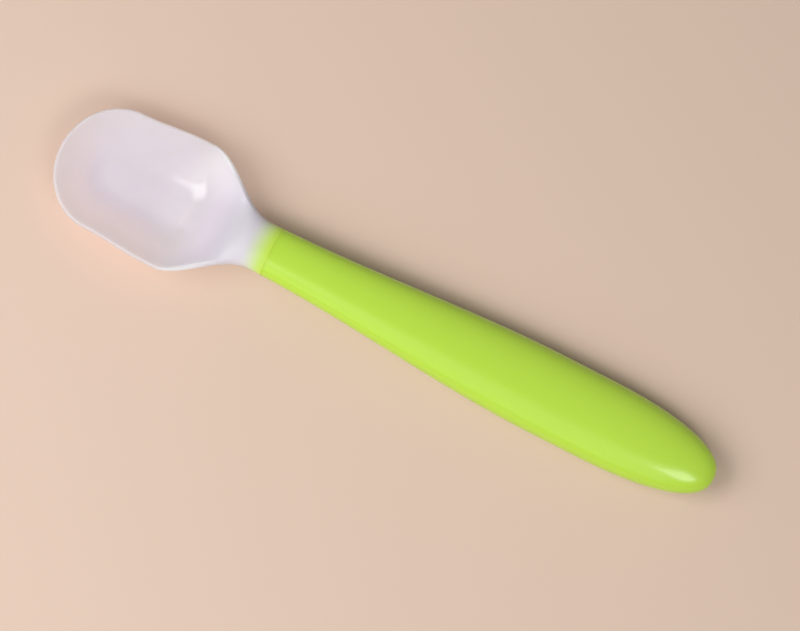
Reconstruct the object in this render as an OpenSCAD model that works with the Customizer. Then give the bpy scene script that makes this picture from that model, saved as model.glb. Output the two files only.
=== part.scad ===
// Soft baby spoon: a milky silicone bowl and a lime green silicone grip, moulded over one stiff core.
// Millimetres. The spoon lies on Z = 0 with its hollow upwards, its tip towards -X and its grip
// towards +X. A station is a distance along the spoon, counted from the bowl's tip.

/* [Bowl] */
// Length of the bowl, from its tip to the start of the neck
bowl_len = 45.2; // [38:0.1:54]
// Width of the bowl where it is widest
bowl_w = 28; // [24:0.1:34]
// Station where the bowl is widest
wide_at = 26.2; // [20:0.1:32]
// Length of the round tip
tip_len = 12.1; // [9:0.1:15]
// Width where the round tip runs into the flanks
tip_w = 26.2; // [21:0.1:32]
// Station where the shoulders start to draw in
shoulder_at = 28; // [23:0.1:34]
// Height of the lip's top along the flanks
rim_h = 8.8; // [7:0.1:11]
// Height of the lip's top at the tip
tip_h = 7.2; // [5.8:0.1:9]
// Thickness of the bowl's floor
wall = 1.4; // [1.1:0.1:1.8]
// Thickness of the bowl's lip
lip_t = 0.8; // [0.6:0.1:1]
// Width of the flat foot that the bowl stands on
foot_w = 5; // [4:0.1:7]
// Station where the foot ends and the underside starts to rise
foot_end = 25.3; // [19:0.1:26]
// Station where the hollow's floor starts to rise towards the neck
floor_end = 26.6; // [21:0.1:28]
// Distance from the top of the slope behind the hollow to the start of the neck
root_len = 0.6; // [0.3:0.1:1.2]
// How square the hollow is in section
dish_power = 2.1; // [1.9:0.1:2.6]

/* [Neck] */
// Width of the neck
neck_w = 10.4; // [8.5:0.1:13]
// Thickness of the neck
neck_t = 6.4; // [5.2:0.1:8]
// Height of the neck's middle
neck_h = 7.4; // [6.5:0.1:9]

/* [Grip] */
// Length from the start of the neck to the grip's end
grip_len = 102.8; // [85:0.1:125]
// Width of the grip where it is widest
grip_w = 17.1; // [14:0.1:21]
// Thickness of the grip where it is thickest
grip_t = 10.2; // [8.4:0.1:12.5]
// Distance from the start of the neck to where the grip has swelled to its full size
swell_len = 64.8; // [53:0.1:78]
// Length of the round end
cap_len = 28.3; // [23:0.1:34]
// How blunt the round end is
cap_power = 2.4; // [2:0.1:3]
// How square the neck and the grip are in section
oval_power = 2.3; // [2:0.1:3]

/* [Seam] */
// Distance from the start of the neck back to the seam
seam_back = 2.8; // [2.3:0.1:3.4]
// Length of the grip's nose, which the bowl's collar covers
nose_len = 5.6; // [4.6:0.1:6.7]
// Thickness of the collar where it ends at the seam
collar_end_t = 0.4; // [0.3:0.05:0.5]

/* [Core] */
// Thickness of the silicone over the core at the neck
neck_cover = 2.1; // [1.7:0.1:2.5]
// Thickness of the silicone over the core at the widest part of the grip
grip_cover = 2.9; // [2.4:0.1:3.5]
// Distance from the core's tail to the grip's end
tail_cover = 7; // [5.5:0.1:9]
// Where the core's tongue ends under the slope behind the hollow: 0 at its foot, 1 at its top
tongue_share = 0.59; // [0.55:0.01:0.75]
// Diameter of the anchor hole in the tongue
tongue_hole_d = 2.4; // [1.8:0.1:3]
// Diameter of the lock holes in the beam
lock_hole_d = 3.2; // [2.6:0.1:3.9]
// Distance between the lock holes
lock_pitch = 12; // [9.5:0.1:15]
// Distance from the start of the neck to the first lock hole
lock_start = 12; // [9:0.1:15]
// Thickness of the web between the rails
web_t = 2.2; // [1.8:0.1:2.6]
// Width of each rail beside the pockets
rail_w = 1.5; // [1.2:0.1:1.8]
// Distance from the start of the neck to the pockets
pocket_start = 25; // [20:0.1:30]

/* [Hidden] */
$fn = 48;
// How far a cut runs past what it cuts
overrun = 1;

// Counts of facets: round the tip, along the flanks, shoulders, nose, grip and round end
tip_rays = 24;
flank_rings = 8;
shoulder_rings = 20;
nose_rings = 5;
swell_rings = 22;
cap_rings = 16;
// Counts of facets across half a section: the wall, and the lip below and above its outermost line
wall_steps = 9;
lip_low_steps = 2;
lip_high_steps = 5;
low_steps = 1 + wall_steps + lip_low_steps;
high_steps = lip_high_steps + wall_steps + 1;
half_steps = low_steps + high_steps;
ring_steps = 2 * half_steps;
// Counts of points along the core: its round ends, and between them
round_steps = 8;
beam_steps = 24;

spoon_len = bowl_len + grip_len;
swell_end = bowl_len + swell_len;
cap_start = spoon_len - cap_len;
hollow_end = bowl_len - root_len;
seam_at = bowl_len + seam_back;
nose_at = seam_at - nose_len;
core_start = mix(floor_end, hollow_end, tongue_share);
core_end = spoon_len - tail_cover;
tongue_r = neck_w / 2 - neck_cover;
tail_start = core_end - (cap_len - tail_cover);
pocket_from = bowl_len + pocket_start;
pocket_to = tail_start;
// Half of the neck's silicone is the bowl's collar where the grip's nose begins
collar_share = 0.5;

// Blend of two values, and two S-shaped steps from 0 to 1, the second with softer ends
function mix(a, b, u) = a + (b - a) * u;
function smooth(u) = let (c = max(0, min(1, u))) c * c * (3 - 2 * c);
function soft(u) = let (c = max(0, min(1, u))) c * c * c * (10 + c * (6 * c - 15));
function step_between(s, from, to) = smooth((s - from) / (to - from));

// How far the neck has swelled into the grip at a station, 0 to 1
function swell(s) = step_between(s, bowl_len, swell_end);

// What the round end leaves of the grip's width and thickness at a station, 1 to 0
function cap(s) =
    let (u = max(0, min(1, (s - cap_start) / cap_len)))
    pow(1 - pow(u, cap_power), 1 / cap_power);

// Half the width between the flanks, with no shoulders
function flank_half_w(s) = mix(tip_w, bowl_w, step_between(s, tip_len, wide_at)) / 2;

// Half the spoon's width at a station behind the round tip
function half_w(s) =
    s < bowl_len
    ? mix(flank_half_w(s), neck_w / 2, step_between(s, shoulder_at, bowl_len))
    : mix(neck_w, grip_w, swell(s)) / 2 * cap(s);

// Half the thickness of the neck or the grip at a station
function half_t(s) = mix(neck_t, grip_t, swell(s)) / 2 * cap(s);

// Height of the outermost line: the lip's middle along the bowl, the section's middle behind it
function mid_h(s) =
    s < bowl_len
    ? mix(mix(tip_h, rim_h, smooth(s / shoulder_at)) - lip_t / 2, neck_h,
          step_between(s, shoulder_at, bowl_len))
    : mix(neck_h, grip_t / 2, swell(s));

// How far the underside and the hollow have turned into the neck's oval at a station, 0 to 1
function low_turn(s) = step_between(s, foot_end, bowl_len);
function high_turn(s) = soft((s - floor_end) / (hollow_end - floor_end));

// Heights of the underside and of the top along the spoon's middle
function low_h(s) = mix(0, mid_h(s) - half_t(s), low_turn(s));
function high_h(s) = mix(wall, mid_h(s) + half_t(s), high_turn(s));

// Silicone over the core at a station
function cover(s) = mix(neck_cover, grip_cover, swell(s));

// Half an oval section from its lowest point round to its highest, as [outwards, up]
function half_oval(a, b, h) = [
    for (i = [0:half_steps])
    let (turn = i < low_steps ? 90 * (i / low_steps - 1) : 90 * (i - low_steps) / high_steps)
    [a * pow(abs(cos(turn)), 2 / oval_power),
     h + b * sign(turn) * pow(abs(sin(turn)), 2 / oval_power)]
];

// Half a dish section as [outwards, up]: the wall's outside from the spine to the lip, round the
// lip, and the wall's inside back to the spine. The wall's middle line is flat over the foot and
// then climbs as a power curve, and the wall thins evenly to the lip, which is a half circle.
function half_dish(reach, lip_h) =
    let (
        foot = foot_w / 2,
        run = reach - lip_t / 2 - foot,
        rise = lip_h - wall / 2,
        middle = function (u) [foot + run * u, wall / 2 + rise * pow(u, dish_power)],
        lean = function (u) atan(dish_power * rise / run * pow(u, dish_power - 1)),
        half_wall = function (u) mix(wall, lip_t, u) / 2,
        across = function (u, side)
            middle(u) + side * half_wall(u) * [sin(lean(u)), -cos(lean(u))],
        round_lip = function (turn) middle(1) + lip_t / 2 * [cos(turn), sin(turn)]
    )
    concat(
        [[0, 0]],
        [for (i = [0:wall_steps]) across(i / wall_steps, 1)],
        [for (i = [1:lip_low_steps]) round_lip((lean(1) - 90) * (1 - i / lip_low_steps))],
        [for (i = [1:lip_high_steps - 1]) round_lip((lean(1) + 90) * i / lip_high_steps)],
        [for (i = [wall_steps:-1:0]) across(i / wall_steps, -1)],
        [[0, wall]]
    );

// Half a section anywhere on the spoon: a dish that turns into an oval, the underside over a
// longer way than the hollow
function half_section(s) =
    let (
        oval = half_oval(half_w(s), half_t(s), mid_h(s)),
        dish = half_dish(half_w(s), mid_h(s))
    )
    s < bowl_len
    ? [for (i = [0:half_steps]) mix(dish[i], oval[i], i < low_steps ? low_turn(s) : high_turn(s))]
    : oval;

// The whole section across the spoon at a station, as points in space
function ring(s, half) = concat(
    [for (i = [0:half_steps]) [s, half[i][0], half[i][1]]],
    [for (i = [half_steps - 1:-1:1]) [s, -half[i][0], half[i][1]]]
);

// The section of the grip's nose, and of the collar's inside round it
function nose_ring(s) =
    let (inset = mix(neck_cover * collar_share, collar_end_t, (s - nose_at) / nose_len))
    ring(s, half_oval(neck_w / 2 - inset, neck_t / 2 - inset, mid_h(s)));

// Stations from the nose's front to the seam
nose_stations = [for (i = [0:nose_rings]) mix(nose_at, seam_at, i / nose_rings)];

// The sides between rings of ring_steps points each, numbered from the first point
function side_faces(ring_count) = [
    for (j = [0:ring_count - 2], i = [0:ring_steps - 1])
    let (a = j * ring_steps, b = a + ring_steps, next = (i + 1) % ring_steps)
    each [[a + i, b + i, b + next], [a + i, b + next, a + next]]
];

// Half a section turned to a ray round the tip, where the spine's end is the centre
function tip_ray(turn) =
    let (
        out = [tip_len * cos(turn), tip_w / 2 * sin(turn)],
        reach = norm(out),
        half = half_dish(reach, mid_h(tip_len - out[0]))
    )
    [for (i = [1:half_steps - 1])
     [tip_len - out[0] / reach * half[i][0], out[1] / reach * half[i][0], half[i][1]]];

// A point's number on ray k of the tip: ray 0 is the first ring's +Y half, the last ray its -Y half,
// and every ray starts and ends on the spine
function ray_index(k, i, first) =
    i == 0 || i == half_steps ? i
    : k == 0 ? i
    : k == tip_rays ? ring_steps - i
    : first + (k - 1) * (half_steps - 1) + i - 1;

// The bowl with its neck and collar as one closed skin: rings from the spine's end to the seam and
// back along the collar's inside, closed by a flat end, and the rays of the tip
module bowl_skin() {
    flank = [for (i = [0:flank_rings]) mix(tip_len, floor_end, i / flank_rings)];
    shoulder = [for (i = [1:shoulder_rings]) mix(floor_end, seam_at, i / shoulder_rings)];
    outside = [for (s = concat(flank, shoulder)) ring(s, half_section(s))];
    inside = [for (i = [nose_rings:-1:0]) nose_ring(nose_stations[i])];
    rings = concat(outside, inside);
    first = len(rings) * ring_steps;
    rays = [for (k = [1:tip_rays - 1]) tip_ray(90 - 180 * k / tip_rays)];
    points = [for (part = concat(rings, rays)) each part];
    ray_faces = [
        for (k = [0:tip_rays - 1], i = [0:half_steps - 1])
        let (
            a = ray_index(k, i, first),
            b = ray_index(k, i + 1, first),
            c = ray_index(k + 1, i + 1, first),
            d = ray_index(k + 1, i, first)
        )
        each i == 0 ? [[a, b, c]] : i == half_steps - 1 ? [[a, b, d]] : [[a, b, c], [a, c, d]]
    ];
    end_face = [for (i = [1:ring_steps]) first - i];
    polyhedron(points, concat(side_faces(len(rings)), ray_faces, [end_face]));
}

// The grip as one closed skin: its nose, the step at the seam, the swell and the round end
module grip_skin() {
    swelled = [for (i = [0:swell_rings]) mix(seam_at, cap_start, i / swell_rings)];
    rounded = [
        for (i = [1:cap_rings - 1])
        cap_start + cap_len * pow(sin(90 * i / cap_rings), 2 / cap_power)
    ];
    nose = [for (s = nose_stations) nose_ring(s)];
    body = [for (s = concat(swelled, rounded)) ring(s, half_oval(half_w(s), half_t(s), mid_h(s)))];
    rings = concat(nose, body);
    pole = len(rings) * ring_steps;
    points = concat([for (part = rings) each part], [[spoon_len, 0, mid_h(spoon_len)]]);
    front_face = [for (i = [0:ring_steps - 1]) i];
    pole_faces = [
        for (i = [0:ring_steps - 1])
        [pole - ring_steps + i, pole, pole - ring_steps + (i + 1) % ring_steps]
    ];
    polyhedron(points, concat([front_face], side_faces(len(rings)), pole_faces));
}

// Half the width of the core before its ends are rounded, and half its thickness
function beam_half_w(s) = mix(neck_w, grip_w, swell(s)) / 2 - cover(s);
function beam_half_t(s) = mix(neck_t, grip_t, swell(s)) / 2 - cover(s);

// Height of the core's middle: halfway through the root, and the section's middle behind it
function core_h(s) = s < bowl_len ? (low_h(s) + high_h(s)) / 2 : mid_h(s);

// Half the width of the core with a half round tongue and a tail as an ellipse
function core_half_w(s) =
    let (
        front = max(0, 1 - (s - core_start) / tongue_r),
        back = max(0, (s - tail_start) / (core_end - tail_start))
    )
    beam_half_w(s) * sqrt(max(0, 1 - front * front)) * sqrt(max(0, 1 - back * back));

// A band across the core as seen from above, between two half widths given by a function
module plan_band(stations, half, height) {
    outline = concat(
        [for (s = stations) [s, half(s)]],
        [for (i = [len(stations) - 1:-1:0]) [stations[i], -half(stations[i])]]
    );
    linear_extrude(height) polygon(outline);
}

// A band along the core as seen from the side, between two heights given by functions
module side_band(stations, low, high, width) {
    outline = concat(
        [for (s = stations) [s, low(s)]],
        [for (i = [len(stations) - 1:-1:0]) [stations[i], high(stations[i])]]
    );
    rotate([90, 0, 0]) linear_extrude(width, center = true) polygon(outline);
}

// The pockets' outlines above and below the web, which leave a rail on each side
module pockets() {
    stations = [for (i = [0:beam_steps]) mix(pocket_from, pocket_to, i / beam_steps)];
    inner = function (s) beam_half_w(s) - rail_w;
    for (side = [-1, 1])
        intersection() {
            plan_band(stations, inner, neck_h + grip_t);
            side_band(stations, function (s) core_h(s) + side * web_t / 2,
                      function (s) core_h(s) + side * (beam_half_t(s) + overrun), grip_w);
        }
}

// The core with nothing moved: a beam along the middle of the grip, with a tongue and a tail
module core_shape() {
    tongue = [for (i = [0:round_steps]) core_start + tongue_r * (1 - cos(90 * i / round_steps))];
    beam = [for (i = [1:beam_steps]) mix(core_start + tongue_r, tail_start, i / beam_steps)];
    tail = [for (i = [1:round_steps]) mix(tail_start, core_end, sin(90 * i / round_steps))];
    inner_tongue = [for (i = [1:round_steps]) tongue[i]];
    inner_tail = [for (i = [0:round_steps - 2]) tail[i]];
    stations = concat(inner_tongue, beam, inner_tail);
    edge = concat([[core_start, 0]], [for (s = stations) [s, core_half_w(s)]], [[core_end, 0]],
                  [for (i = [len(stations) - 1:-1:0]) [stations[i], -core_half_w(stations[i])]]);
    along = concat(tongue, beam, [core_end]);
    lock_count = floor((pocket_to - bowl_len - lock_start) / lock_pitch) + 1;
    difference() {
        intersection() {
            linear_extrude(neck_h + grip_t) polygon(edge);
            side_band(along, function (s) core_h(s) - beam_half_t(s),
                      function (s) core_h(s) + beam_half_t(s), grip_w);
        }
        pockets();
        translate([core_start + tongue_r, 0, 0]) cylinder(h = neck_h + grip_t, d = tongue_hole_d);
        for (i = [0:lock_count - 1])
            translate([bowl_len + lock_start + i * lock_pitch, 0, 0])
                cylinder(h = neck_h + grip_t, d = lock_hole_d);
    }
}

// Moves the tip's station to its place, so that the spoon's middle is at X = 0
module placed() {
    translate([-spoon_len / 2, 0, 0]) children();
}

// The stiff insert: tongue, neck bar, and a beam with rails, a web and lock holes
module stiffening_core() {
    color("ivory") placed() core_shape();
}

// The green silicone grip, which fills the core's pockets and holes
module grip() {
    color("yellowgreen")
        placed()
            difference() {
                grip_skin();
                core_shape();
            }
}

// The milky silicone bowl, with the neck that grips the tongue and the collar over the nose
module bowl() {
    color("lavenderblush")
        placed()
            difference() {
                bowl_skin();
                core_shape();
            }
}

stiffening_core();
grip();
bowl();
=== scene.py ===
from math import cos, radians, sin
import bpy
import numpy as np
from mathutils import Matrix, Vector


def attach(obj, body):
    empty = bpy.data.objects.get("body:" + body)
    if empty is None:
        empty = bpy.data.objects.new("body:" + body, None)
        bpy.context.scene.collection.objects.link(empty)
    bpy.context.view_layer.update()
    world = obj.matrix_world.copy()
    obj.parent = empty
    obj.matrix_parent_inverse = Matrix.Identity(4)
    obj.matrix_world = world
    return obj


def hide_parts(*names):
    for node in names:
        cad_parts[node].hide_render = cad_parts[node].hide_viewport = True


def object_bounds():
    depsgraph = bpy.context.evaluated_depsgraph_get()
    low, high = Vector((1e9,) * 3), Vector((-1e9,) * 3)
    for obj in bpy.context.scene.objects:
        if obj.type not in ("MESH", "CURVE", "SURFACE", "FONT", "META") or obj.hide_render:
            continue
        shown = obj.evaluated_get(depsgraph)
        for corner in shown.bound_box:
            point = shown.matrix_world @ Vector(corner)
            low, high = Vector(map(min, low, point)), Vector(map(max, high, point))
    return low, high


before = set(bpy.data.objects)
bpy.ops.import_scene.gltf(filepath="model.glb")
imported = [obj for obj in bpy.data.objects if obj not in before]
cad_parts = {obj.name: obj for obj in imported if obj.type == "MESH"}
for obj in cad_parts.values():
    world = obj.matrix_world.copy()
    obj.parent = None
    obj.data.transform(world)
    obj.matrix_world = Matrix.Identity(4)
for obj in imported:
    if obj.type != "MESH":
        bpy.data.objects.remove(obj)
cad_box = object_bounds()

# The camera, almost straight above the table and far away, so that the spoon lies across the
# picture from the bowl at the upper left to the grip at the lower right.
mm = 0.001
picture_w = 800
picture_h = 631
pixels_per_mm = 4.955
spoon_middle_px = (386.2, 311.8)
spoon_turn = radians(27.27)
camera_lean = radians(7)
camera_height = 0.9
aim_h = 5 * mm
sensor_w = 36

page_right = Vector((cos(spoon_turn), sin(spoon_turn), 0))
page_up = Vector((-sin(spoon_turn), cos(spoon_turn), 0))
camera_back = Vector((0, 0, cos(camera_lean))) - page_up * sin(camera_lean)
camera_up = page_up * cos(camera_lean) + Vector((0, 0, sin(camera_lean)))
aim = Vector((0, 0, aim_h))
aim += page_right * (picture_w / 2 - spoon_middle_px[0]) / pixels_per_mm * mm
aim -= page_up * (picture_h / 2 - spoon_middle_px[1]) / pixels_per_mm * mm
camera = bpy.data.objects.new("camera", bpy.data.cameras.new("camera"))
camera.data.sensor_width = sensor_w
camera.data.lens = sensor_w * camera_height / (picture_w / pixels_per_mm * mm)
camera.data.clip_start = 0.01
camera.matrix_world = Matrix((
    (page_right.x, camera_up.x, camera_back.x, aim.x + camera_back.x * camera_height),
    (page_right.y, camera_up.y, camera_back.y, aim.y + camera_back.y * camera_height),
    (page_right.z, camera_up.z, camera_back.z, aim.z + camera_back.z * camera_height),
    (0, 0, 0, 1),
))
bpy.context.scene.collection.objects.link(camera)
bpy.context.scene.camera = camera

# The stiffening core: an uncoloured plastic insert, injection moulded, that the soft parts are
# moulded over. It keeps its frame shape and gets the waxy, slightly streaked look of such plastic.


class Value:
    """What one socket carries. Its operators add Math nodes, so a pattern reads as a formula."""

    def __init__(self, finish, socket):
        self.finish = finish
        self.socket = socket

    def math(self, operation, *values):
        settings = {"operation": operation}
        return self.finish.node("ShaderNodeMath", settings, dict(enumerate(values)))

    def __radd__(self, other):
        return self.math("ADD", other, self)

    def __rsub__(self, other):
        return self.math("SUBTRACT", other, self)

    def __mul__(self, other):
        return self.math("MULTIPLY", self, other)

    def __rmul__(self, other):
        return self.math("MULTIPLY", other, self)


class Finish:
    """A material that starts with one Principled shader. node() adds any node: its settings come first, then
    the values or links of its sockets; set() does the same for the shader itself."""

    def __init__(self, name):
        self.material = bpy.data.materials.new(name)
        self.material.use_nodes = True
        self.tree = self.material.node_tree
        self.shader = self.tree.nodes["Principled BSDF"]

    def fill(self, node, sockets):
        for name, value in sockets.items():
            if isinstance(value, Value):
                self.tree.links.new(value.socket, node.inputs[name])
            else:
                node.inputs[name].default_value = value

    def node(self, kind, settings=None, sockets=None, output=0):
        node = self.tree.nodes.new(kind)
        for name, value in (settings or {}).items():
            setattr(node, name, value)
        self.fill(node, sockets or {})
        return Value(self, node.outputs[output])

    def set(self, **sockets):
        self.fill(self.shader, {name.replace("_", " "): value for name, value in sockets.items()})

    def add_shader(self, kind, share, **sockets):
        """A second shader, which takes over from what there is as share goes from 0 to 1."""
        over = self.tree.nodes.new(kind)
        self.fill(over, {name.replace("_", " "): value for name, value in sockets.items()})
        both = self.tree.nodes.new("ShaderNodeMixShader")
        end = self.tree.nodes["Material Output"].inputs["Surface"]
        self.fill(both, {0: share})
        self.tree.links.new(end.links[0].from_socket, both.inputs[1])
        self.tree.links.new(over.outputs[0], both.inputs[2])
        self.tree.links.new(both.outputs[0], end)

    def place(self):
        """Places on the piece in metres, which is the fourth output."""
        return self.node("ShaderNodeTexCoord", output=3)

    def stored(self, name):
        """The value kept at each point of the mesh under that name, which is the third output."""
        return self.node("ShaderNodeAttribute", {"attribute_name": name}, output=2)

    def noise(self, size, detail=2.0, roughness=0.5, stretch=(1, 1, 1)):
        """Cloudy noise, 0 to 1, whose largest features measure about size, drawn out by stretch."""
        place = self.node("ShaderNodeVectorMath", {"operation": "MULTIPLY"},
                          {0: self.place(), 1: tuple(1 / way for way in stretch)})
        sockets = {"Vector": place, "Scale": 1 / size, "Detail": detail, "Roughness": roughness}
        return self.node("ShaderNodeTexNoise", {}, sockets)

    def colour(self, share, first, second):
        """The first colour where share is 0, the second where it is 1. Sockets 6 and 7 take the
        colours, and the third output gives their blend."""
        sockets = {0: share, 6: first, 7: second}
        return self.node("ShaderNodeMix", {"data_type": "RGBA"}, sockets, output=2)

    def bump(self, height, distance, strength=1.0):
        """Normals of a relief whose height, 0 to 1, stands for that distance."""
        return self.node("ShaderNodeBump", {},
                         {"Height": height, "Distance": distance, "Strength": strength})


def paint(red, green, blue):
    """The linear colour of three display values from 0 to 255."""
    shares = np.array([red, green, blue]) / 255
    linear = np.where(shares <= 0.04045, shares / 12.92, ((shares + 0.055) / 1.055) ** 2.4)
    return (*linear.tolist(), 1.0)


def core_plastic():
    finish = Finish("core_plastic")
    streaks = finish.noise(6 * mm, detail=4.0, roughness=0.6, stretch=(8, 1, 1))
    grain = finish.noise(0.25 * mm)
    finish.set(
        Base_Color=finish.colour(streaks, paint(240, 238, 230), paint(226, 224, 214)),
        Roughness=0.42 + 0.12 * streaks,
        Normal=finish.bump(grain, 0.01 * mm),
        Subsurface_Weight=0.4,
        Subsurface_Radius=(1.0, 0.9, 0.8),
        Subsurface_Scale=1.5 * mm,
        IOR=1.49,
    )
    return finish.material


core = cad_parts["stiffening_core"]
core.data.materials.clear()
core.data.materials.append(core_plastic())

# The grip: lime green silicone moulded over the core. It swells from the neck to a blunt round
# end, and its nose, which the bowl's collar covers, is a little thinner than the neck.
spoon_len = cad_box[1][0] - cad_box[0][0]
bowl_len = 45.2 * mm
neck_w = 10.4 * mm
neck_t = 6.4 * mm
neck_h = 7.4 * mm
grip_w = 17.1 * mm
grip_t = 10.2 * mm
swell_len = 64.8 * mm
cap_len = 28.3 * mm
cap_power = 2.4
oval_power = 2.3
seam_back = 2.8 * mm
nose_len = 5.6 * mm
collar_end_t = 0.4 * mm
neck_cover = 2.1 * mm
collar_share = 0.5
flash_h = 0.05 * mm
flash_w = 0.12 * mm
flash_fade = 2.4 * mm
seam_gap = 0.004 * mm

cap_start = spoon_len - cap_len
seam_at = bowl_len + seam_back
nose_at = seam_at - nose_len
quarter_steps = 36
side_crowding = 1.4
nose_ring_count = 12
swell_ring_count = 150
cap_ring_count = 61
sharp_edge = radians(50)


def mix(first, second, share):
    """The blend of two values: first where share is 0, second where it is 1."""
    return first + (second - first) * share


def smooth(share):
    """An S-shaped step: 3u^2 - 2u^3 between 0 and 1."""
    share = np.clip(share, 0, 1)
    return share * share * (3 - 2 * share)


def neck_middle(station):
    """Height of the section's middle behind the bowl, from the neck down into the grip."""
    return mix(neck_h, grip_t / 2, swell(station))


def swell(station):
    """How far the neck has swelled into the grip at a distance from the bowl's tip, 0 to 1."""
    return smooth((station - bowl_len) / swell_len)


def cap(station):
    """What the round end leaves of the width: (1 - u^p)^(1/p), with u along the end."""
    along = np.clip((station - cap_start) / cap_len, 0, 1)
    return (1 - along ** cap_power) ** (1 / cap_power)


def oval(half_w, half_t, middle_h, turn):
    """Half an oval, as distances outwards and heights: a cos^(2/p) and h + b sin^(2/p) of turn."""
    out = half_w * np.abs(np.cos(turn)) ** (2 / oval_power)
    up = middle_h + half_t * np.sign(turn) * np.abs(np.sin(turn)) ** (2 / oval_power)
    return out, up


def closed_rings(station, out, up):
    """Whole rings from half sections: the +Y side from the lowest point up, then the -Y side down."""
    along = np.broadcast_to(station - spoon_len / 2, out.shape)
    right = np.stack([along, out, up], axis=2)
    left = right[:, -2:0:-1] * [1, -1, 1]
    return np.concatenate([right, left], axis=1)


def ring_quads(ring_count, ring_points):
    """Quads between neighbouring rings, facing outwards, for rings numbered one after the other."""
    ring = np.arange(ring_count - 1)[:, None] * ring_points
    here = np.arange(ring_points)[None, :]
    after = (here + 1) % ring_points
    quads = [ring + after, ring + ring_points + after, ring + ring_points + here, ring + here]
    return np.stack(quads, axis=2).reshape(-1, 4)


def add_skin(name, points, faces, material, node, stored=None):
    """A piece from points and faces, smooth but for its sharp edges, in place of a CAD node."""
    mesh = bpy.data.meshes.new(name)
    mesh.from_pydata(points, [], faces)
    mesh.shade_smooth()
    mesh.set_sharp_from_angle(angle=sharp_edge)
    for key, values in (stored or {}).items():
        layer = mesh.attributes.new(key, "FLOAT", "POINT")
        layer.data.foreach_set("value", np.asarray(values, np.float32))
    mesh.materials.append(material)
    piece = bpy.data.objects.new(name, mesh)
    bpy.context.scene.collection.objects.link(piece)
    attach(piece, "root")
    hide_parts(node)


def quarter_turns():
    """Angles from the lowest point to the highest, crowded at the side, where the moulds part."""
    way = np.linspace(-1, 1, 2 * quarter_steps + 1)
    return np.sign(way) * np.abs(way) ** side_crowding * np.pi / 2


def nose_rings(turn, play):
    """Rings of the grip's nose, or with no play of the collar's socket round it: the neck's oval,
    inset further towards the nose's front."""
    station = np.linspace(nose_at + play, seam_at + play, nose_ring_count)[:, None]
    inset = mix(neck_cover * collar_share, collar_end_t, (station - nose_at) / nose_len) + play
    out, up = oval(neck_w / 2 - inset, neck_t / 2 - inset, neck_middle(station), turn)
    return closed_rings(station, out, up)


def grip_rings(turn):
    """Rings of the grip behind the seam, with the hair-thin flash where the moulds part."""
    swelled = np.linspace(seam_at + seam_gap, cap_start, swell_ring_count)
    sweep = np.linspace(0, np.pi / 2, cap_ring_count)
    rounded = cap_start + cap_len * np.sin(sweep) ** (2 / cap_power)
    station = np.concatenate([swelled, rounded[1:-1]])[:, None]
    half_w = mix(neck_w, grip_w, swell(station)) / 2 * cap(station)
    half_t = mix(neck_t, grip_t, swell(station)) / 2 * cap(station)
    middle = neck_middle(station)
    out, up = oval(half_w, half_t, middle, turn)
    out = out + flash_h * np.exp(-((up - middle) / flash_w) ** 2) * smooth(out / flash_fade)
    return closed_rings(station, out, up)


def green_silicone():
    finish = Finish("green_silicone")
    clouds = finish.noise(14 * mm, detail=3.0, stretch=(3, 1, 1))
    haze = finish.noise(2.5 * mm, detail=4.0, roughness=0.6)
    grain = finish.noise(0.18 * mm)
    finish.set(
        Base_Color=finish.colour(clouds, paint(192, 228, 77), paint(187, 224, 72)),
        Roughness=0.20 + 0.06 * haze,
        Normal=finish.bump(grain, 0.006 * mm),
        Subsurface_Weight=0.35,
        Subsurface_Radius=(1.0, 1.0, 0.3),
        Subsurface_Scale=1.5 * mm,
        Specular_IOR_Level=0.5,
        IOR=1.41,
        Coat_Weight=0.15,
        Coat_Roughness=0.08,
    )
    return finish.material


turn = quarter_turns()
nose = nose_rings(turn, seam_gap)
body = grip_rings(turn)
rings = np.concatenate([nose, body])
ring_count, ring_points = rings.shape[:2]
pole = ring_count * ring_points
points = np.concatenate([rings.reshape(-1, 3), [[spoon_len / 2, 0, grip_t / 2]]])
here = np.arange(ring_points)
after = (here + 1) % ring_points
end_fan = np.stack([pole - ring_points + after, np.full(ring_points, pole),
                    pole - ring_points + here], axis=1)
faces = ring_quads(ring_count, ring_points).tolist() + end_fan.tolist() + [here[::-1].tolist()]
add_skin("grip_skin", points, faces, green_silicone(), "grip")

# The bowl: translucent milky silicone, moulded last. A shallow dish with a round lip runs into a
# solid root and a neck, whose collar thins out over the grip's nose, so the green shows through.
bowl_w = 28 * mm
wide_at = 26.2 * mm
tip_len = 12.1 * mm
tip_w = 26.2 * mm
shoulder_at = 28 * mm
rim_h = 8.8 * mm
tip_h = 7.2 * mm
wall = 1.4 * mm
lip_t = 0.8 * mm
foot_w = 5 * mm
foot_end = 25.3 * mm
floor_end = 26.6 * mm
root_len = 0.6 * mm
dish_power = 2.1
hollow_end = bowl_len - root_len
wall_steps = 26
lip_low_steps = 6
lip_high_steps = 14
low_steps = 1 + wall_steps + lip_low_steps
half_steps = low_steps + lip_high_steps + wall_steps + 1
tip_rays = 96
flank_ring_count = 40
shoulder_ring_count = 90
# Stations between which the finish changes: to that of the slope behind the hollow, to that of the
# neck, and to green over the grip's nose. A bow is how much later the change comes at the sides.
root_from = 19 * mm
root_to = 28 * mm
root_bow = 6 * mm
neck_from = 34 * mm
neck_to = 41 * mm
green_from = 42.4 * mm
green_to = 48.2 * mm
green_bow = 0.6 * mm
# Share of a lamp's light that goes straight on at each surface of the milky silicone, down to none
# where it is green. It only thins the shadow: through the two surfaces of a wall about half is left.
straight_share = 0.7


def soft(share):
    """An S-shaped step with softer ends: 6u^5 - 15u^4 + 10u^3 between 0 and 1."""
    share = np.clip(share, 0, 1)
    return share ** 3 * (10 + share * (6 * share - 15))


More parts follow.
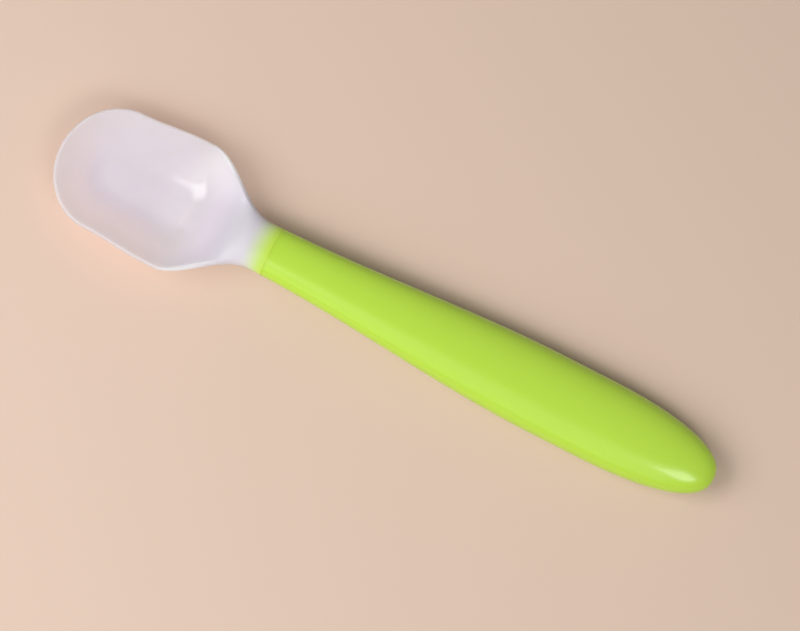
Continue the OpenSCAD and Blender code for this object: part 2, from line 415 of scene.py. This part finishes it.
def bowl_half_w(station):
    """Half the width behind the round tip: the flanks' slow swell, drawn in at the shoulders."""
    flank = mix(tip_w, bowl_w, smooth((station - tip_len) / (wide_at - tip_len))) / 2
    drawn = smooth((station - shoulder_at) / (bowl_len - shoulder_at))
    behind = mix(neck_w, grip_w, swell(station)) / 2
    return np.where(station < bowl_len, mix(flank, neck_w / 2, drawn), behind)


def middle_h(station):
    """Height of the outermost line: the lip's middle along the bowl, the neck's middle behind it."""
    lip = mix(tip_h, rim_h, smooth(station / shoulder_at)) - lip_t / 2
    drawn = smooth((station - shoulder_at) / (bowl_len - shoulder_at))
    return np.where(station < bowl_len, mix(lip, neck_h, drawn), neck_middle(station))


def dish(reach, lip_h):
    """Half a dish: a wall about the line h = wall / 2 + rise u^p, flat over the foot, which thins
    evenly to a half round lip. Returns distances outwards and heights, a row for each reach."""
    run = reach - lip_t / 2 - foot_w / 2
    rise = lip_h - wall / 2
    share = np.linspace(0, 1, wall_steps + 1)[None, :]
    line_out = foot_w / 2 + run * share
    line_up = wall / 2 + rise * share ** dish_power
    half_wall = mix(wall, lip_t, share) / 2
    lean = np.arctan(dish_power * rise / run * share ** (dish_power - 1))
    low = np.linspace(0, 1, lip_low_steps + 1)[1:]
    high = np.linspace(0, 1, lip_high_steps + 1)[1:-1]
    last = lean[:, -1:]
    round_lip = np.concatenate([(last - np.pi / 2) * (1 - low), (last + np.pi / 2) * high], axis=1)
    zero = np.zeros_like(reach)
    out = np.concatenate([
        zero,
        line_out + half_wall * np.sin(lean),
        line_out[:, -1:] + lip_t / 2 * np.cos(round_lip),
        (line_out - half_wall * np.sin(lean))[:, ::-1],
        zero,
    ], axis=1)
    up = np.concatenate([
        zero,
        line_up - half_wall * np.cos(lean),
        line_up[:, -1:] + lip_t / 2 * np.sin(round_lip),
        (line_up + half_wall * np.cos(lean))[:, ::-1],
        zero + wall,
    ], axis=1)
    return out, up


def section_turns():
    """Angles of an oval's points, evenly spaced from the lowest to the side and on to the highest."""
    step = np.arange(half_steps + 1)
    low_turn = (step / low_steps - 1) * np.pi / 2
    high_turn = (step - low_steps) / (half_steps - low_steps) * np.pi / 2
    return np.where(step < low_steps, low_turn, high_turn)[None, :]


def bowl_sections(station):
    """Half sections from the round tip to the seam: a dish that turns into the neck's oval."""
    step = np.arange(half_steps + 1)[None, :]
    half_w = bowl_half_w(station)
    half_t = mix(neck_t, grip_t, swell(station)) / 2
    dish_out, dish_up = dish(half_w, middle_h(station))
    oval_out, oval_up = oval(half_w, half_t, middle_h(station), section_turns())
    under = smooth((station - foot_end) / (bowl_len - foot_end))
    inside = soft((station - floor_end) / (hollow_end - floor_end))
    share = np.where(step < low_steps, under, inside)
    share = np.where(station < bowl_len, share, 1)
    return mix(dish_out, oval_out, share), mix(dish_up, oval_up, share)


def tip_fan():
    """Half dishes on rays round the tip, from the +Y side to the -Y side, without their ends."""
    turn = (np.pi / 2 - np.pi * np.arange(1, tip_rays) / tip_rays)[:, None]
    out_x = tip_len * np.cos(turn)
    out_y = tip_w / 2 * np.sin(turn)
    reach = np.hypot(out_x, out_y)
    out, up = dish(reach, middle_h(tip_len - out_x))
    x = tip_len - out_x / reach * out - spoon_len / 2
    return np.stack([x, out_y / reach * out, up], axis=2)[:, 1:-1]


def fan_faces(first, ring_points):
    """Faces between the rays: quads, and triangles at the spine, which every ray starts from."""
    inner = first + np.arange(tip_rays - 1)[:, None] * (half_steps - 1) + np.arange(half_steps - 1)
    spine_low = np.zeros((tip_rays - 1, 1), int)
    spine_high = np.full((tip_rays - 1, 1), half_steps)
    rays = np.concatenate([spine_low, inner, spine_high], axis=1)
    right = np.arange(half_steps + 1)[None, :]
    left = (ring_points - right) % ring_points
    rays = np.concatenate([right, rays, left])
    a, b = rays[:-1, :-1], rays[:-1, 1:]
    d, c = rays[1:, :-1], rays[1:, 1:]
    low = np.stack([a[:, 0], c[:, 0], b[:, 0]], axis=1)
    high = np.stack([a[:, -1], d[:, -1], b[:, -1]], axis=1)
    sides = np.stack([a[:, 1:-1], d[:, 1:-1], c[:, 1:-1], b[:, 1:-1]], axis=2).reshape(-1, 4)
    return sides.tolist() + low.tolist() + high.tolist()


def milky_silicone():
    """Satin in the wall, and clear enough there for light to cross it, then denser and polished on
    the slope behind the hollow, with a painted glow that lightens its colour towards the sides, and
    dense and satin again on the neck and the collar."""
    finish = Finish("milky_silicone")
    green = finish.stored("green")
    clouds = finish.noise(9 * mm, detail=3.0)
    haze = finish.noise(2 * mm, detail=4.0, roughness=0.6)
    relief = finish.bump(finish.noise(0.16 * mm), 0.004 * mm)
    finish.set(
        Base_Color=finish.colour(clouds, paint(242, 225, 243), paint(245, 228, 246)),
        Roughness=0.42 + 0.06 * haze,
        Normal=relief,
        Specular_IOR_Level=0.2,
        IOR=1.41,
        Subsurface_Weight=1.0,
        Subsurface_Radius=(1.0, 0.9, 0.75),
        Subsurface_Scale=10 * mm,
    )
    finish.add_shader(
        "ShaderNodeBsdfPrincipled",
        finish.stored("root"),
        # Painted glow: this colour is painted lighter towards the sides, in place of light coming through
        # the shoulders' thin walls.
        Base_Color=finish.colour(finish.stored("side"), paint(226, 219, 228), paint(241, 237, 247)),
        Roughness=0.1 + 0.05 * haze,
        Normal=relief,
        Specular_IOR_Level=0.75,
        IOR=1.41,
        Subsurface_Weight=1.0,
        Subsurface_Radius=(1.0, 0.95, 0.95),
        Subsurface_Scale=4 * mm,
    )
    finish.add_shader(
        "ShaderNodeBsdfPrincipled",
        finish.stored("neck"),
        Base_Color=finish.colour(green, paint(221, 216, 223), paint(202, 232, 82)),
        Roughness=0.34 + 0.06 * haze,
        Normal=relief,
        Specular_IOR_Level=0.4,
        IOR=1.41,
        Subsurface_Weight=1.0,
        Subsurface_Radius=(1.0, 0.95, 0.95),
        Subsurface_Scale=0.2 * mm,
    )
    to_lamp = finish.node("ShaderNodeLightPath", output=1)
    finish.add_shader("ShaderNodeBsdfTransparent", straight_share * to_lamp * (1 - green))
    return finish.material


station = np.concatenate([
    np.linspace(tip_len, floor_end, flank_ring_count)[:-1],
    np.linspace(floor_end, seam_at, shoulder_ring_count),
])[:, None]
out, up = bowl_sections(station)
outside = closed_rings(station, out, up)
socket = nose_rings(section_turns(), 0)[::-1]
rings = np.concatenate([outside, socket])
ring_count, ring_points = rings.shape[:2]
fan = tip_fan()
points = np.concatenate([rings.reshape(-1, 3), fan.reshape(-1, 3)])
socket_end = np.arange(ring_points) + (ring_count - 1) * ring_points
faces = ring_quads(ring_count, ring_points).tolist() + [socket_end.tolist()]
faces += fan_faces(ring_count * ring_points, ring_points)
along = points[:, 0] + spoon_len / 2
across = points[:, 1] / (bowl_w / 2)
across_neck = points[:, 1] / (neck_w / 2)
root = smooth((along - root_bow * across ** 2 - root_from) / (root_to - root_from))
neck = smooth((along - neck_from) / (neck_to - neck_from))
green = smooth((along - green_bow * across_neck ** 2 - green_from) / (green_to - green_from))
# side: 0 on the axis, 1 at the bowl's full width; it paints the slope behind the hollow lighter towards the
# sides, a painted glow.
side = np.clip(across ** 2, 0, 1)
add_skin("bowl_skin", points, faces, milky_silicone(), "bowl",
         {"root": root, "neck": neck, "green": green, "side": side})

# The table under the spoon: a plain pale floor, a hair below the foot, so that light that has
# passed through the bowl meets it.
floor_size = 3.0
floor_h = -0.05 * mm


def plain_floor():
    finish = Finish("plain_floor")
    finish.set(Base_Color=paint(223, 197, 178), Roughness=0.6, Specular_IOR_Level=0.2)
    return finish.material


floor_mesh = bpy.data.meshes.new("floor")
corner = floor_size / 2
floor_mesh.from_pydata([(-corner, -corner, floor_h), (corner, -corner, floor_h),
                        (corner, corner, floor_h), (-corner, corner, floor_h)], [], [(0, 1, 2, 3)])
floor_mesh.materials.append(plain_floor())
floor = bpy.data.objects.new("floor", floor_mesh)
bpy.context.scene.collection.objects.link(floor)

# The light: a pale room and three soft boxes. The one at the picture's left draws the highlight on
# the slope behind the hollow, the one at its lower right the highlight on the grip's end, and the one
# at its lower left brightens the grip's near side.


def soft_box(name, way, height, distance, size, power):
    """A square lamp aimed at the spoon, whose direction has a way round, counted in degrees from the
    spoon's grip end towards +Y, and a height in degrees above the table."""
    turn, lift = radians(way), radians(height)
    to_lamp = Vector((cos(turn) * cos(lift), sin(turn) * cos(lift), sin(lift)))
    lamp = bpy.data.lights.new(name, "AREA")
    lamp.shape = "SQUARE"
    lamp.size = size
    lamp.energy = power
    holder = bpy.data.objects.new(name, lamp)
    holder.location = to_lamp * distance
    holder.rotation_euler = to_lamp.to_track_quat("Z", "Y").to_euler()
    bpy.context.scene.collection.objects.link(holder)


soft_box("left_box", way=210, height=51, distance=0.5, size=0.35, power=1.45)
soft_box("right_box", way=327, height=53, distance=1.2, size=0.45, power=4.5)
soft_box("near_box", way=268, height=48, distance=0.8, size=0.8, power=1.6)
world = bpy.data.worlds.new("pale_room")
world.use_nodes = True
room = world.node_tree.nodes["Background"]
room.inputs["Color"].default_value = (0.95, 0.97, 1.0, 1.0)
room.inputs["Strength"].default_value = 0.2
bpy.context.scene.world = world
bpy.context.scene.view_settings.view_transform = "Standard"
